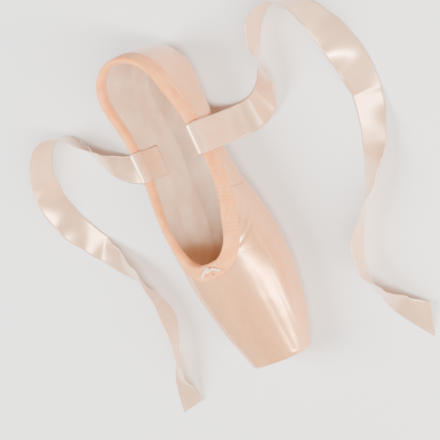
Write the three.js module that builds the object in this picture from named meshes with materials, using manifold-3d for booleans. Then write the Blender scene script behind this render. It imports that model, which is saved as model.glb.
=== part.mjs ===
// A pointe shoe, standing empty on its sole: a satin upper with its stiff box, a leather outsole, an insole,
// the drawstring casing that binds the collar, the drawstring's knot, and two ankle ribbons laid on the floor.
// Sizes are in millimetres. +X points to the toe, +Y to the shoe's left and +Z up.
// The origin is on the floor, under the middle of the shoe's length and width.
import * as THREE from "three";
import { mergeVertices } from "three/addons/utils/BufferGeometryUtils.js";
import Module from "manifold-3d";

// Overall size of the straight last, which has no left or right
const LENGTH = 232;
const BALL_WIDTH = 76;
const WAIST_WIDTH = 59;
const HEEL_WIDTH = 57;
const HEEL_RADIUS = 29;
const BALL_BACK = 69;
const WAIST_BACK = 152;

// The box: its platform stands the dancer on the toes
const PLATFORM_WIDTH = 45;
const PLATFORM_HEIGHT = 30;
const PLATFORM_EDGE_RADIUS = 2.4;
const VAMP_LENGTH = 78;
const VAMP_HEIGHT = 49;

// The collar's raw edge, above the floor
const ARCH_COLLAR_HEIGHT = 40.5;
const HEEL_COLLAR_HEIGHT = 56;

// Walls of the upper
const QUARTER_WALL = 1.6;
const BOX_WALL = 3.2;
const PLATFORM_WALL = 8;
const BOX_WALL_END = 70;
const QUARTER_WALL_START = 112;
const LASTING_MARGIN = 6;

// Outsole
const SOLE_THICKNESS = 2.6;
const SOLE_BALL_WIDTH = 46;
const SOLE_WAIST_WIDTH = 25.6;
const SOLE_HEEL_WIDTH = 31.2;
const SOLE_TOE_SETBACK = 21;
const SOLE_HEEL_SETBACK = 12;
const SOLE_EDGE_BEVEL = 0.9;
const SOLE_FLAT_SHARE = 0.55;
const TOE_SPRING = 4;
const TOE_SPRING_LENGTH = 50;
const ARCH_RISE = 3;
const ARCH_START = 100;
const ARCH_END = 172;

// Insole, with a raised patch below that fills the lasting opening
const INSOLE_THICKNESS = 2.2;
const INSOLE_TOE_SETBACK = 27;

// Pleats of satin gathered between the outsole's tip and the platform
const PLEAT_COUNT = 7;
const PLEAT_HEIGHT = 0.7;
const PLEAT_ROOT_WIDTH = 2.1;
const PLEAT_END_WIDTH = 3.5;
const PLEAT_FAN_DEGREES = 11;

// Drawstring casing, folded over the collar's edge
const CASING_WIDTH = 9;
const CASING_INNER_WIDTH = 6;
const CASING_TAPE = 0.6;
const CASING_CORD_BULGE = 0.9;

// Drawstring: its knot and two short ends at the throat
const CORD_DIAMETER = 1.9;
const KNOT_WIDTH = 6.4;
const KNOT_DEPTH = 3.6;
const KNOT_HEIGHT = 3.2;
const CORD_END_LENGTH = 7;

// Ankle ribbons
const RIBBON_WIDTH = 22;
const RIBBON_THICKNESS = 0.5;

// Clearance between pieces that touch in the real shoe
const GAP = 0.3;
const CASING_GAP = 0.36;
const SOLE_GAP = 0.36;

// Fineness of the faces
const PROFILE_STEPS = 15;
const HEEL_STEPS = 6;
const RIBBON_STEPS = 66;

const FRONT = LENGTH / 2;
const HEEL_BACK = LENGTH - HEEL_RADIUS;
const HEEL_X = FRONT - HEEL_BACK;
const BASE_HEIGHT = SOLE_THICKNESS + SOLE_GAP;
const QUARTER_TURN = Math.PI / 2;

const COLOURS = {
  satin: 0xeccdb2,
  leather: 0xcdb5a3,
  lining: 0xe9dccb,
  casing: 0xf3c19c,
  cord: 0xf4dccb,
  ribbon: 0xf4dcc6,
};

const wasm = await Module();
wasm.setup();

const between = (low, high, share) => low + (high - low) * share;

function smooth(low, high, at) {
  const share = Math.min(1, Math.max(0, (at - low) / (high - low)));
  return share * share * (3 - 2 * share);
}

// A smooth curve through one column of a table, with no overshoot between its rows
function tableAt(rows, column, at) {
  const last = rows.length - 1;
  if (at <= rows[0].back) return rows[0][column];
  if (at >= rows[last].back) return rows[last][column];
  const i = rows.findIndex((row) => row.back > at) - 1;
  const slope = (k) => (rows[k + 1][column] - rows[k][column]) / (rows[k + 1].back - rows[k].back);
  const tangent = (k) => {
    if (k === 0) return slope(0);
    if (k === last) return slope(last - 1);
    const before = slope(k - 1);
    const after = slope(k);
    return before * after <= 0 ? 0 : (2 * before * after) / (before + after);
  };
  const span = rows[i + 1].back - rows[i].back;
  const t = (at - rows[i].back) / span;
  return (
    rows[i][column] * (1 + 2 * t) * (1 - t) * (1 - t) +
    tangent(i) * span * t * (1 - t) * (1 - t) +
    rows[i + 1][column] * t * t * (3 - 2 * t) +
    tangent(i + 1) * span * t * t * (t - 1)
  );
}

// Sections of the last. back: distance behind the platform. half: half width. widest and crown: heights of the
// widest line and of the top above the upper's underside; behind the throat the crown is only where the walls
// would close. under and over: how square the outline is below and above the widest line.
const platformToBall = (share) => between(PLATFORM_WIDTH, BALL_WIDTH, share) / 2;
const platformToVamp = (share) => between(PLATFORM_HEIGHT, VAMP_HEIGHT, share);
const SECTIONS = [
  { back: 0, half: platformToBall(0), widest: 0.48 * PLATFORM_HEIGHT, crown: platformToVamp(0), under: 2.5, over: 2.5 },
  { back: 0.19 * BALL_BACK, half: platformToBall(0.27), widest: 0.5 * PLATFORM_HEIGHT, crown: platformToVamp(0.26), under: 2.7, over: 2.45 },
  { back: 0.42 * BALL_BACK, half: platformToBall(0.58), widest: 0.53 * PLATFORM_HEIGHT, crown: platformToVamp(0.52), under: 3.0, over: 2.4 },
  { back: 0.67 * BALL_BACK, half: platformToBall(0.81), widest: 0.56 * PLATFORM_HEIGHT, crown: platformToVamp(0.74), under: 3.1, over: 2.4 },
  { back: BALL_BACK, half: platformToBall(1), widest: 0.59 * PLATFORM_HEIGHT, crown: platformToVamp(0.94), under: 3.1, over: 2.35 },
  { back: 1.13 * VAMP_LENGTH, half: 0.488 * BALL_WIDTH, widest: 0.63 * PLATFORM_HEIGHT, crown: 1.028 * VAMP_HEIGHT, under: 3.0, over: 2.35 },
  { back: 1.36 * VAMP_LENGTH, half: 0.455 * BALL_WIDTH, widest: 0.68 * PLATFORM_HEIGHT, crown: 1.06 * VAMP_HEIGHT, under: 2.8, over: 2.35 },
  { back: 0.84 * WAIST_BACK, half: 0.535 * WAIST_WIDTH, widest: 0.72 * PLATFORM_HEIGHT, crown: 1.12 * VAMP_HEIGHT, under: 2.5, over: 2.35 },
  { back: WAIST_BACK, half: 0.5 * WAIST_WIDTH, widest: 0.75 * PLATFORM_HEIGHT, crown: 1.17 * VAMP_HEIGHT, under: 2.4, over: 2.35 },
  { back: between(WAIST_BACK, HEEL_BACK, 0.5), half: between(WAIST_WIDTH, HEEL_WIDTH, 0.6) / 2, widest: 0.72 * PLATFORM_HEIGHT, crown: 1.3 * VAMP_HEIGHT, under: 2.7, over: 2.3 },
  { back: HEEL_BACK, half: 0.5 * HEEL_WIDTH, widest: 0.68 * PLATFORM_HEIGHT, crown: 1.52 * VAMP_HEIGHT, under: 3.1, over: 2.25 },
];

// Height of the collar's raw edge, seen from the side, behind the throat
const THROAT_HEIGHT = BASE_HEIGHT + VAMP_HEIGHT;
const COLLAR = [
  { back: VAMP_LENGTH, height: THROAT_HEIGHT },
  { back: 1.13 * VAMP_LENGTH, height: between(ARCH_COLLAR_HEIGHT, THROAT_HEIGHT, 0.84) },
  { back: 1.36 * VAMP_LENGTH, height: between(ARCH_COLLAR_HEIGHT, THROAT_HEIGHT, 0.57) },
  { back: 0.84 * WAIST_BACK, height: between(ARCH_COLLAR_HEIGHT, THROAT_HEIGHT, 0.2) },
  { back: WAIST_BACK, height: ARCH_COLLAR_HEIGHT },
  { back: between(WAIST_BACK, HEEL_BACK, 0.5), height: between(ARCH_COLLAR_HEIGHT, HEEL_COLLAR_HEIGHT, 0.17) },
  { back: HEEL_BACK, height: between(ARCH_COLLAR_HEIGHT, HEEL_COLLAR_HEIGHT, 0.66) },
  { back: LENGTH, height: HEEL_COLLAR_HEIGHT },
];

// The outsole's half width, from its tip to its heel end
const SOLE_LENGTH = LENGTH - SOLE_TOE_SETBACK - SOLE_HEEL_SETBACK;
const soleBack = (share) => SOLE_TOE_SETBACK + share * SOLE_LENGTH;
const SOLE_OUTLINE = [
  { back: soleBack(0), half: 0.1 * SOLE_BALL_WIDTH },
  { back: soleBack(0.004), half: 0.155 * SOLE_BALL_WIDTH },
  { back: soleBack(0.014), half: 0.205 * SOLE_BALL_WIDTH },
  { back: soleBack(0.042), half: 0.288 * SOLE_BALL_WIDTH },
  { back: soleBack(0.08), half: 0.363 * SOLE_BALL_WIDTH },
  { back: soleBack(0.13), half: 0.435 * SOLE_BALL_WIDTH },
  { back: soleBack(0.175), half: 0.479 * SOLE_BALL_WIDTH },
  { back: soleBack(0.225), half: 0.5 * SOLE_BALL_WIDTH },
  { back: soleBack(0.27), half: 0.487 * SOLE_BALL_WIDTH },
  { back: soleBack(0.33), half: 0.43 * SOLE_BALL_WIDTH },
  { back: soleBack(0.4), half: 0.36 * SOLE_BALL_WIDTH },
  { back: soleBack(0.48), half: 0.545 * SOLE_WAIST_WIDTH },
  { back: soleBack(0.56), half: 0.5 * SOLE_WAIST_WIDTH },
  { back: soleBack(0.66), half: 0.51 * SOLE_WAIST_WIDTH },
  { back: soleBack(0.76), half: 0.455 * SOLE_HEEL_WIDTH },
  { back: soleBack(0.86), half: 0.493 * SOLE_HEEL_WIDTH },
  { back: soleBack(0.92), half: 0.497 * SOLE_HEEL_WIDTH },
  { back: soleBack(0.96), half: 0.46 * SOLE_HEEL_WIDTH },
  { back: soleBack(0.985), half: 0.385 * SOLE_HEEL_WIDTH },
  { back: soleBack(1), half: 0.3 * SOLE_HEEL_WIDTH },
];

// Height of the outsole's underside above the floor: flat at the ball and the heel, sprung at the toe
function springAt(back) {
  const toe = TOE_SPRING * Math.pow(Math.max(0, 1 - back / TOE_SPRING_LENGTH), 2);
  const arch = Math.min(1, Math.max(0, (back - ARCH_START) / (ARCH_END - ARCH_START)));
  return toe + ARCH_RISE * Math.pow(Math.sin(Math.PI * arch), 2);
}

const wallAt = (back) => between(BOX_WALL, QUARTER_WALL, smooth(BOX_WALL_END, QUARTER_WALL_START, back));

// The last's section at one place: along its length, or turned about the heel's upright axis by turn
function sectionAt(back, turn = 0) {
  const row = { turn };
  for (const column of ["half", "widest", "crown", "under", "over"]) row[column] = tableAt(SECTIONS, column, back);
  row.back = back + HEEL_RADIUS * Math.sin(turn);
  row.base = BASE_HEIGHT + springAt(back);
  row.x = FRONT - back;
  if (turn > 0) {
    const side = Math.cos(turn) / row.half;
    const rear = Math.sin(turn) / HEEL_RADIUS;
    row.half = 1 / Math.hypot(side, rear);
  }
  return row;
}

// A point of the form: angle runs from straight down, through the widest line at 0, to straight up
function formPoint(section, angle, grow, side = 1) {
  const power = 2 / (angle < 0 ? section.under : section.over);
  const reach = Math.abs(angle) >= QUARTER_TURN - 1e-9 ? 0 : Math.pow(Math.cos(angle), power);
  const climb = Math.sign(angle) * Math.pow(Math.abs(Math.sin(angle)), power);
  const tall = angle < 0 ? section.widest : section.crown - section.widest;
  const out = (section.half + grow) * reach;
  return new THREE.Vector3(
    section.x - out * Math.sin(section.turn),
    side * out * Math.cos(section.turn),
    section.base + section.widest + (tall + grow) * climb,
  );
}

// The form's point nearest a place: the same station and angle, moved on to the surface grown by grow
function ontoForm(place, grow) {
  const behind = place.x < HEEL_X;
  const out = behind ? Math.hypot(place.x - HEEL_X, place.y) : Math.abs(place.y);
  const turn = behind ? Math.atan2(HEEL_X - place.x, Math.abs(place.y)) : 0;
  const section = sectionAt(behind ? HEEL_BACK : FRONT - place.x, turn);
  const height = place.z - section.base - section.widest;
  const power = (height < 0 ? section.under : section.over) / 2;
  const tall = height < 0 ? section.widest : section.crown - section.widest;
  const climb = Math.pow(Math.abs(height) / tall, power);
  const reach = Math.pow(out / section.half, power);
  return formPoint(section, Math.sign(height) * Math.atan2(climb, reach), grow, place.y < 0 ? -1 : 1);
}

// The angle at which the collar's raw edge crosses a section; straight up in front of the throat
function collarAngle(section) {
  if (section.back <= VAMP_LENGTH + 1e-6) return QUARTER_TURN;
  const height = tableAt(COLLAR, "height", section.back) - section.base - section.widest;
  const share = Math.min(1, height / (section.crown - section.widest));
  return Math.asin(Math.pow(share, section.over / 2));
}

// Height of the form's underside over a point of the floor
function undersideAt(x, y) {
  const behind = x < HEEL_X;
  const out = behind ? Math.hypot(x - HEEL_X, y) : Math.abs(y);
  const turn = behind ? Math.atan2(HEEL_X - x, Math.abs(y)) : 0;
  const section = sectionAt(behind ? HEEL_BACK : FRONT - x, turn);
  const reach = Math.min(1, out / section.half);
  return section.base + section.widest * (1 - Math.pow(1 - Math.pow(reach, section.under), 1 / section.under));
}

// A solid from triangles, given as a flat list of points
function solidFrom(points) {
  const kept = [];
  let volume = 0;
  for (let i = 0; i < points.length; i += 3) {
    const [a, b, c] = points.slice(i, i + 3);
    if (a.distanceTo(b) < 1e-5 || b.distanceTo(c) < 1e-5 || c.distanceTo(a) < 1e-5) continue;
    volume += a.dot(b.clone().cross(c));
    kept.push(a, b, c);
  }
  if (volume < 0) kept.reverse();
  return toSolid(new THREE.BufferGeometry().setFromPoints(kept));
}

function toSolid(geometry) {
  const bare = geometry.index ? geometry.toNonIndexed() : geometry.clone();
  bare.deleteAttribute("normal");
  bare.deleteAttribute("uv");
  const merged = mergeVertices(bare, 1e-4);
  return new wasm.Manifold(
    new wasm.Mesh({
      numProp: 3,
      vertProperties: merged.attributes.position.array,
      triVerts: new Uint32Array(merged.index.array),
    }),
  );
}

function toGeometry(solid) {
  const mesh = solid.getMesh();
  const position = new Float32Array(mesh.numVert * 3);
  for (let i = 0; i < mesh.numVert; i++) {
    position.set(mesh.vertProperties.subarray(i * mesh.numProp, i * mesh.numProp + 3), i * 3);
  }
  const geometry = new THREE.BufferGeometry();
  geometry.setAttribute("position", new THREE.BufferAttribute(position, 3));
  geometry.setIndex(new THREE.BufferAttribute(mesh.triVerts, 1));
  geometry.computeVertexNormals();
  return geometry;
}

// Faces between neighbouring columns of points; the shoe's right side splits its squares the other way
function strip(points, a, b, mirrored = false) {
  for (let j = 0; j + 1 < a.length; j++) {
    if (mirrored) points.push(a[j], b[j], a[j + 1], b[j], b[j + 1], a[j + 1]);
    else points.push(a[j], b[j], b[j + 1], a[j], b[j + 1], a[j + 1]);
  }
}

// Rings of points joined into one closed tube, with a flat cap at each end unless the rings run in a circle.
// A thin strip splits its back's squares the way its front's are split, so that it keeps its thickness in a twist.
function loft(rings, { closed = false, thin = false } = {}) {
  const points = [];
  const count = rings.length;
  for (let i = 0; i + 1 < count + (closed ? 1 : 0); i++) {
    const here = [...rings[i], rings[i][0]];
    const next = [...rings[(i + 1) % count], rings[(i + 1) % count][0]];
    const front = thin ? rings[i].length / 2 : rings[i].length;
    strip(points, here.slice(0, front + 1), next.slice(0, front + 1), closed && i >= count / 2);
    if (thin) strip(points, here.slice(front), next.slice(front), true);
  }
  if (!closed) {
    cap(points, rings[0], false);
    cap(points, rings[count - 1], true);
  }
  return solidFrom(points);
}

function cap(points, ring, flip) {
  const middle = ring.reduce((sum, p) => sum.add(p), new THREE.Vector3()).divideScalar(ring.length);
  ring.forEach((p, k) => {
    const next = ring[(k + 1) % ring.length];
    points.push(middle, flip ? next : p, flip ? p : next);
  });
}

// Stations along one side: finer at the platform's edge and just behind the throat, then round the heel
function stations() {
  const front = [0, 0.1, 0.35, 1].map((share) => share * PLATFORM_EDGE_RADIUS);
  for (const share of [0.07, 0.13, 0.21, 0.3, 0.4, 0.51, 0.63, 0.76, 0.9]) front.push(share * VAMP_LENGTH);
  const throat = [0, 0.006, 0.022, 0.05, 0.09, 0.145, 0.215, 0.3, 0.4, 0.51, 0.63, 0.76, 0.88, 1];
  for (const share of throat) front.push(between(VAMP_LENGTH, HEEL_BACK, share));
  const found = front.map((back) => ({ back, turn: 0 }));
  for (let k = 1; k <= HEEL_STEPS; k++) found.push({ back: HEEL_BACK, turn: (k / HEEL_STEPS) * QUARTER_TURN });
  return found;
}

// The rounding of the platform's edge draws the form in by this much
function edgeInset(back) {
  if (back >= PLATFORM_EDGE_RADIUS) return 0;
  const reach = PLATFORM_EDGE_RADIUS - back;
  return PLATFORM_EDGE_RADIUS - Math.sqrt(PLATFORM_EDGE_RADIUS ** 2 - reach ** 2);
}

// Columns of one side of the outer skin, from the underside's middle up to the collar or the crown
function outerColumns(side, top, grow = 0) {
  return stations().map(({ back, turn }) => {
    const section = sectionAt(back, turn);
    return column(section, top(section), grow - (turn ? 0 : edgeInset(back)), side);
  });
}

// The same for the inner skin, which starts behind the platform's solid block
function innerColumns(side, top, clearance = 0) {
  return stations().map(({ back, turn }) => {
    const pushed = back + (PLATFORM_WALL + clearance) * (1 - smooth(0, VAMP_LENGTH, back));
    const section = sectionAt(turn ? back : Math.min(pushed, LENGTH), turn);
    return column(section, top(section), -wallAt(back) - clearance, side);
  });
}

function column(section, topAngle, grow, side) {
  const found = [];
  for (let j = 0; j <= PROFILE_STEPS; j++) {
    const angle = between(-QUARTER_TURN, topAngle, j / PROFILE_STEPS);
    found.push(formPoint(section, angle, grow, side));
  }
  return found;
}

const straightUp = () => QUARTER_TURN;

// Both sides of a skin, in one run from the toe round the heel to the toe again
const bothSides = (columns, top, extra) => [...columns(1, top, extra), ...columns(-1, top, extra).reverse()];

function skinFaces(points, columns, flip) {
  const found = [];
  for (let i = 0; i + 1 < columns.length; i++) strip(found, columns[i], columns[i + 1], 2 * i >= columns.length - 2);
  const left = columns[0];
  const right = columns[columns.length - 1];
  cap(found, [...left, ...right.slice(1, -1).reverse()], false);
  for (let i = 0; i < found.length; i += 3) {
    const face = found.slice(i, i + 3);
    points.push(...(flip ? face.reverse() : face));
  }
}

// The last as one closed solid
function form(columns, extra) {
  const points = [];
  skinFaces(points, bothSides(columns, straightUp, extra), false);
  return solidFrom(points);
}

// The satin and its lining, box and platform as one hollow wall, open at the collar
function upperShell() {
  const outer = bothSides(outerColumns, collarAngle);
  const inner = bothSides(innerColumns, collarAngle);
  const points = [];
  skinFaces(points, outer, false);
  skinFaces(points, inner, true);
  const top = PROFILE_STEPS;
  const open = (i) => i >= throatStation && i < outer.length - throatStation;
  for (let i = 0; i + 1 < outer.length; i++) {
    if (!open(i) || !open(i + 1)) continue;
    strip(points, [outer[i][top], inner[i][top]], [outer[i + 1][top], inner[i + 1][top]]);
  }
  return solidFrom(points);
}

const throatStation = stations().findIndex(({ back }) => Math.abs(back - VAMP_LENGTH) < 1e-6);

// An upright prism over a plan outline
function prism(outline, low, high) {
  const shape = new THREE.Shape(outline.map(([x, y]) => new THREE.Vector2(x, y)));
  const geometry = new THREE.ExtrudeGeometry(shape, { depth: high - low, bevelEnabled: false });
  return toSolid(geometry.translate(0, 0, low));
}

// A slab across the shoe, under a line seen from the side
function slabUnder(height, fromBack, toBack, low) {
  const line = [];
  const steps = 40;
  for (let k = 0; k <= steps; k++) {
    const back = between(fromBack, toBack, k / steps);
    line.push(new THREE.Vector2(FRONT - back, height(back)));
  }
  line.push(new THREE.Vector2(FRONT - toBack, low), new THREE.Vector2(FRONT - fromBack, low));
  const geometry = new THREE.ExtrudeGeometry(new THREE.Shape(line), { depth: BALL_WIDTH, bevelEnabled: false });
  return toSolid(geometry.rotateX(QUARTER_TURN).translate(0, BALL_WIDTH / 2, 0));
}

// The outsole's outline, drawn in by inset
function soleOutline(inset) {
  const side = SOLE_OUTLINE.map(({ back, half }) => [FRONT - back, half]);
  const found = side.map(([x, y], k) => {
    const before = side[Math.max(0, k - 1)];
    const after = side[Math.min(side.length - 1, k + 1)];
    const length = Math.hypot(after[0] - before[0], after[1] - before[1]);
    return [x - (inset * (before[1] - after[1])) / -length, y - (inset * (before[0] - after[0])) / length];
  });
  const kept = found.filter(([x, y], k) => {
    const last = FRONT - soleBack(0) - inset;
    const rear = FRONT - soleBack(1) + inset;
    return y > 1.5 && x < last && x > rear && (k === 0 || found[k - 1][0] > x);
  });
  return [...kept, ...kept.map(([x, y]) => [x, -y]).reverse()];
}

// Leather outsole: a flat middle, and edges that curl up with the last's underside
function outsole() {
  const rings = [];
  const backs = [];
  SOLE_OUTLINE.forEach(({ back }, k) => {
    backs.push(back);
    const next = SOLE_OUTLINE[k + 1];
    if (next && next.back - back > 0.07 * SOLE_LENGTH) backs.push(between(back, next.back, 0.5));
  });
  for (const back of backs) {
    const half = tableAt(SOLE_OUTLINE, "half", back);
    const x = FRONT - back;
    const spring = springAt(back);
    const top = (y) => undersideAt(x, y) - SOLE_GAP;
    const curl = (y) => top(y) - SOLE_THICKNESS;
    const sideOf = (side) => {
      const bottom = [
        [SOLE_FLAT_SHARE * half, spring],
        [0.8 * half, between(spring, curl(0.8 * half), 0.8)],
        [half - SOLE_EDGE_BEVEL, curl(half - SOLE_EDGE_BEVEL)],
        [half, curl(half) + SOLE_EDGE_BEVEL],
      ];
      const over = [1, 0.93, 0.85, 0.76, 0.64, 0.48, 0.25].map((share) => [share * half, top(share * half)]);
      return [...bottom, ...over].map(([y, z]) => new THREE.Vector3(x, side * y, z));
    };
    const right = sideOf(-1);
    rings.push([...sideOf(1), new THREE.Vector3(x, 0, top(0)), ...right.reverse()]);
  }
  return loft(rings);
}

// Insole: the inner form below a level line, with the patch that fills the lasting opening
function insole() {
  const level = (back) => BASE_HEIGHT + springAt(back) + wallAt(back) + GAP + INSOLE_THICKNESS;
  const slab = slabUnder(level, INSOLE_TOE_SETBACK, LENGTH, -1);
  const lining = form(innerColumns, GAP).intersect(slab);
  const patch = prism(soleOutline(LASTING_MARGIN + GAP), -1, VAMP_HEIGHT).intersect(form(outerColumns));
  return lining.add(patch.intersect(slab));
}

// One pleat: a low ridge that widens from the outsole's tip to the platform
function pleat(turnDegrees) {
  const turn = THREE.MathUtils.degToRad(turnDegrees);
  const start = new THREE.Vector3(FRONT - SOLE_TOE_SETBACK - 6, 0, 0);
  const way = new THREE.Vector3(Math.cos(turn), Math.sin(turn), 0);
  const across = new THREE.Vector3(-Math.sin(turn), Math.cos(turn), 0);
  const reach = (SOLE_TOE_SETBACK + 6 - PLATFORM_EDGE_RADIUS) / Math.cos(turn);
  const rings = [];
  for (const share of [0.33, 0.5, 0.75, 1]) {
    const middle = start.clone().addScaledVector(way, share * reach);
    const half = between(PLEAT_ROOT_WIDTH, PLEAT_END_WIDTH, share) / 2;
    const ring = [[-half, -0.6], [0, PLEAT_HEIGHT], [half, -0.6], [0, -1.6]].map(([offset, low]) => {
      const p = middle.clone().addScaledVector(across, offset);
      return new THREE.Vector3(p.x, p.y, undersideAt(p.x, p.y) - low);
    });
    rings.push(ring);
  }
  return loft(rings);
}

function upper() {
  let solid = upperShell().subtract(prism(soleOutline(LASTING_MARGIN), -1, BASE_HEIGHT + 3 * BOX_WALL));
  for (let k = 0; k < PLEAT_COUNT; k++) solid = solid.add(pleat((k - (PLEAT_COUNT - 1) / 2) * PLEAT_FAN_DEGREES));
  return solid;
}

// The collar's raw edge as a loop of places, each with the direction away from the opening over the surface
function collarEdge() {
  const behindThroat = stations().slice(throatStation);
  const places = behindThroat.flatMap(({ back, turn }, k) => {
    const next = behindThroat[k + 1];
    if (!next || k < 2) return [{ back, turn }];
    return [{ back, turn }, { back: between(back, next.back, 0.5), turn: between(turn, next.turn, 0.5) }];
  });
  const sides = [1, -1].map((side) => {
    return places.map(({ back, turn }) => {
      const section = sectionAt(back, turn);
      return formPoint(section, collarAngle(section), 0, side);
    });
  });
  const loop = [...sides[0], ...sides[1].slice(1, -1).reverse()];
  return loop.map((place, k) => {
    const before = loop[(k + loop.length - 1) % loop.length];
    const after = loop[(k + 1) % loop.length];
    const along = after.clone().sub(before).normalize();
    const out = ontoForm(place, 1).sub(ontoForm(place, 0)).normalize();
    const away = along.clone().cross(out).normalize();
    return { place, away, wall: wallAt(FRONT - place.x) };
  });
}

// Drawstring casing: a tape folded over the raw edge, swollen at the top by the cord inside
function casing() {
  const rings = collarEdge().map(({ place, away, wall }) => {
    const outside = CASING_GAP + CASING_TAPE;
    const inside = -wall - CASING_GAP - CASING_TAPE;
    const rows = [
      [CASING_WIDTH, CASING_GAP],
      [CASING_WIDTH, outside],
      [0.55 * CASING_WIDTH, outside],
      [0.28 * CASING_WIDTH, outside + 0.8 * CASING_CORD_BULGE],
      [0.06 * CASING_WIDTH, outside + CASING_CORD_BULGE],
      [-0.17 * CASING_WIDTH, outside],
      [-0.23 * CASING_WIDTH, -wall / 2],
      [-0.17 * CASING_WIDTH, inside],
      [0.06 * CASING_WIDTH, inside - 0.7 * CASING_CORD_BULGE],
      [0.28 * CASING_WIDTH, inside - 0.5 * CASING_CORD_BULGE],
      [CASING_INNER_WIDTH, inside],
      [CASING_INNER_WIDTH, -wall - CASING_GAP],
      [-2 * CASING_GAP, -wall - CASING_GAP],
      [-2 * CASING_GAP, CASING_GAP],
      [0.33 * CASING_WIDTH, CASING_GAP],
      [0.67 * CASING_WIDTH, CASING_GAP],
    ];
    return rows.map(([down, grow]) => ontoForm(place.clone().addScaledVector(away, down), grow));
  });
  return loft(rings, { closed: true });
}

// An ellipsoid, tilted about the shoe's length
function lump(size, tilt, place) {
  const geometry = new THREE.SphereGeometry(0.5, 10, 7).scale(...size).rotateX(tilt);
  return toSolid(geometry.translate(place.x, place.y, place.z));
}

// The drawstring's knot lies on the casing at the throat
const KNOT_PLACE = new THREE.Vector3(FRONT - VAMP_LENGTH + 1.5, 0, 0);
KNOT_PLACE.z = THROAT_HEIGHT + GAP * 2 + CASING_TAPE + CASING_CORD_BULGE + KNOT_HEIGHT / 2;

function knot() {
  const low = lump([KNOT_DEPTH, KNOT_WIDTH, KNOT_HEIGHT], 0, KNOT_PLACE);
  const wrap = lump([KNOT_DEPTH * 1.3, CORD_DIAMETER * 1.25, KNOT_HEIGHT * 1.05], 0.35, KNOT_PLACE);
  return low.add(wrap);
}

// One of the drawstring's short ends, from beside the knot down over the casing on to the vamp
function cordEnd(side) {
  const start = KNOT_WIDTH / 2 + GAP;
  const lift = (x, y) => ontoForm(new THREE.Vector3(x, y, THROAT_HEIGHT), 0).z;
  const points = [0, 0.35, 0.7, 1].map((share) => {
    const x = KNOT_PLACE.x + share * CORD_END_LENGTH * 0.5;
    const y = side * (start + share * CORD_END_LENGTH * 0.8);
    const over = GAP * 2 + CASING_TAPE + CASING_CORD_BULGE + CORD_DIAMETER / 2;
    return new THREE.Vector3(x, y, lift(x, y) + over);
  });
  const section = new THREE.Shape().absarc(0, 0, CORD_DIAMETER / 2, 0, 2 * Math.PI);
  const path = new THREE.CatmullRomCurve3(points);
  const geometry = new THREE.ExtrudeGeometry(section, { steps: 6, curveSegments: 4, extrudePath: path });
  return toSolid(geometry);
}

// The ribbons' way out of the shoe, for the left one: sewn inside the quarter, over the casing, down to the floor
const RIBBON_X = -42;
const RIBBON_DROP = [
  [25.3, 17],
  [27, 25],
  [26.6, 31],
  [25.4, 35.5],
  [24.1, 38.5],
  [23.8, 41.2],
  [24.6, 43.4],
  [26.4, 44.4],
  [28.5, 44.3],
  [30.3, 42.9],
  [31, 40],
  [31.5, 32],
  [32, 22],
  [34.4, 11.5],
  [39.5, 4],
];

// Where each ribbon lies on the floor; lean is how far its right-hand edge is raised, in degrees.
// It lies flat where it runs straight and stands on edge where it turns, as a satin ribbon does.
const LEFT_RIBBON = [
  { at: [-43, 51], lean: 0 },
  { at: [-47, 62], lean: 8 },
  { at: [-56, 71], lean: 30 },
  { at: [-69, 76], lean: 58 },
  { at: [-83, 80], lean: 80 },
  { at: [-95, 88], lean: 88 },
  { at: [-100, 102], lean: 88 },
  { at: [-94, 117], lean: 84 },
  { at: [-79, 127], lean: 66 },
  { at: [-59, 133], lean: 40 },
  { at: [-38, 135], lean: 15 },
  { at: [-16, 133], lean: -3 },
  { at: [6, 127], lean: -20 },
  { at: [26, 116], lean: -45 },
  { at: [44, 102], lean: -72 },
  { at: [61, 88], lean: -84 },
  { at: [81, 82], lean: -74 },
  { at: [99, 86], lean: -50 },
  { at: [115, 96], lean: -25 },
  { at: [128, 108], lean: -8 },
];
const RIGHT_RIBBON = [
  { at: [-43, -51], lean: 0 },
  { at: [-45, -63], lean: 4 },
  { at: [-52, -76], lean: 20 },
  { at: [-65, -88], lean: 45 },
  { at: [-81, -98], lean: 72 },
  { at: [-93, -112], lean: 86 },
  { at: [-93, -129], lean: 88 },
  { at: [-79, -143], lean: 80 },
  { at: [-58, -148], lean: 60 },
  { at: [-35, -145], lean: 34 },
  { at: [-13, -134], lean: 8 },
  { at: [6, -119], lean: -14 },
  { at: [24, -104], lean: -40 },
  { at: [43, -93], lean: -68 },
  { at: [63, -89], lean: -80 },
  { at: [83, -94], lean: -68 },
  { at: [100, -103], lean: -42 },
  { at: [116, -110], lean: -16 },
  { at: [131, -113], lean: -4 },
];

// Height of a ribbon's middle line when its lower edge rests on the floor
const ribbonRest = (lean) => (RIBBON_WIDTH / 2) * Math.abs(Math.sin(lean)) + RIBBON_THICKNESS;

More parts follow.
